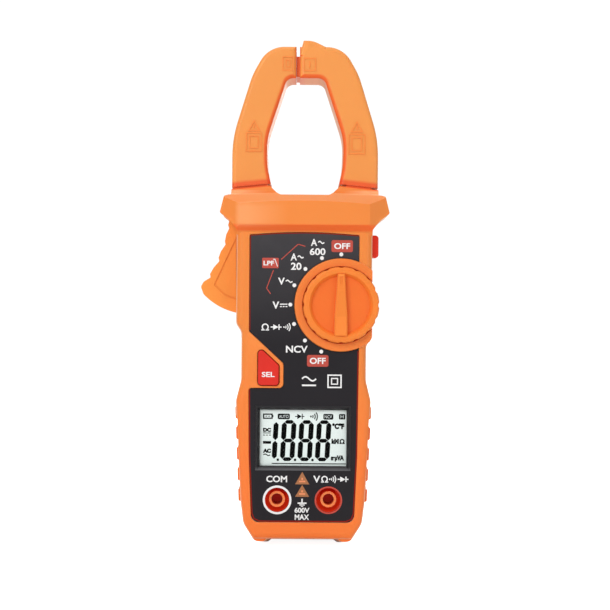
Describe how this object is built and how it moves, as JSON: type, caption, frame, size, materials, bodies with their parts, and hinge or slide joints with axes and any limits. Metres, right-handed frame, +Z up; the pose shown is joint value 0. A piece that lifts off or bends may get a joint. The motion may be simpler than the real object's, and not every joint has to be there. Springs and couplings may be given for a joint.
{
  "type": "clamp meter",
  "caption": "Handheld clamp meter with a sprung jaw opened by a side trigger, a rotary selector, a display and a pair of shrouded test lead sockets.",
  "frame": {"origin": "bottom of the feet, at the middle of the bounding box in width and depth", "axes": "+Z up along the meter towards the jaw tips, -Y out of the front face, +X to the right of someone reading it"},
  "size_m": [0.0701, 0.038, 0.189],
  "materials": {
    "case_orange": "fine-grained moulded ABS",
    "jaw_orange": "fine-grained moulded ABS",
    "knob_orange": "satin moulded ABS",
    "panel_dark": "satin printed face",
    "button_red": "satin silicone",
    "socket_red": "satin",
    "post_orange": "satin",
    "lens_clear": "clear",
    "lcd_grey": "gloss",
    "white_plastic": "satin",
    "black_plastic": "satin",
    "board_green": "solder mask",
    "gold_contact": "plated",
    "brass": "turned",
    "steel": "zinc plated",
    "spring_steel": "drawn wire",
    "nickel": "nickel plated",
    "core_steel": "laminated strip",
    "copper": "enamelled winding",
    "cell_wrap": "printed wrap, plain",
    "strip_rubber": "layered silicone",
    "sensor_green": "dipped resin"
  },
  "bodies": {
    "case": {"front_case": "case_orange", "rear_case": "case_orange", "face_panel": "panel_dark", "display_bezel": "panel_dark", "display_lens": "lens_clear", "lcd_glass": "lcd_grey", "lcd_backlight": "white_plastic", "lcd_frame": "white_plastic", "zebra_strip": "strip_rubber", "main_board": "board_green", "selector_tracks": "gold_contact", "main_chip": "black_plastic", "buzzer": "black_plastic", "input_thermistor": "sensor_green", "ncv_antenna": "gold_contact", "board_screws": "steel", "case_screws": "steel", "com_socket": "socket_red", "volt_socket": "socket_red", "com_post": "post_orange", "volt_post": "post_orange", "com_contact": "brass", "volt_contact": "brass", "com_strap": "brass", "volt_strap": "brass", "sel_switch": "black_plastic", "hold_switch": "black_plastic", "battery_cells": "cell_wrap", "battery_springs": "nickel", "battery_plates": "nickel", "fixed_jaw_body": "jaw_orange", "fixed_jaw_cover": "jaw_orange", "fixed_core": "core_steel", "fixed_bobbin": "white_plastic", "fixed_coil": "copper", "fixed_jaw_screw": "steel", "pivot_pin": "steel", "jaw_spring": "spring_steel"},
    "jaw_lever": {"moving_jaw_body": "jaw_orange", "moving_jaw_cover": "jaw_orange", "moving_core": "core_steel", "moving_bobbin": "white_plastic", "moving_coil": "copper", "trigger": "case_orange", "trigger_screws": "steel", "pivot_bush": "brass"},
    "selector": {"selector_knob": "knob_orange", "switch_rotor": "white_plastic", "wiper_contacts": "gold_contact", "detent_balls": "steel", "detent_springs": "spring_steel", "knob_screw": "steel"},
    "sel_key": {"sel_button": "button_red", "sel_plunger": "black_plastic"},
    "hold_key": {"hold_button": "button_red", "hold_plunger": "black_plastic"},
    "cover": {"battery_cover": "case_orange", "cover_screw": "steel"}
  },
  "joints": [
    {"name": "jaw_hinge", "type": "hinge", "parent": "case", "child": "jaw_lever", "pos_m": [-0.01685, 0.002, 0.11], "axis": [0, -1, 0], "range_deg": [0, 24], "stiffness_Nm_per_rad": 0.3, "springref_deg": -51.57, "deforming": ["jaw_spring"]},
    {"name": "selector_turn", "type": "hinge", "parent": "case", "child": "selector", "pos_m": [0.01725, -0.016, 0.0899], "axis": [0, -1, 0], "range_deg": [0, 157.5]},
    {"name": "sel_press", "type": "slide", "parent": "case", "child": "sel_key", "axis": [0, 1, 0], "range_m": [0, 0.0007], "stiffness_N_per_m": 1500, "springref_m": -0.0004},
    {"name": "hold_press", "type": "slide", "parent": "case", "child": "hold_key", "axis": [-1, 0, 0], "range_m": [0, 0.0008], "stiffness_N_per_m": 1500, "springref_m": -0.0004},
    {"name": "cover_lift", "type": "slide", "parent": "case", "child": "cover", "axis": [0, 1, 0], "range_m": [0, 0.025]}
  ]
}
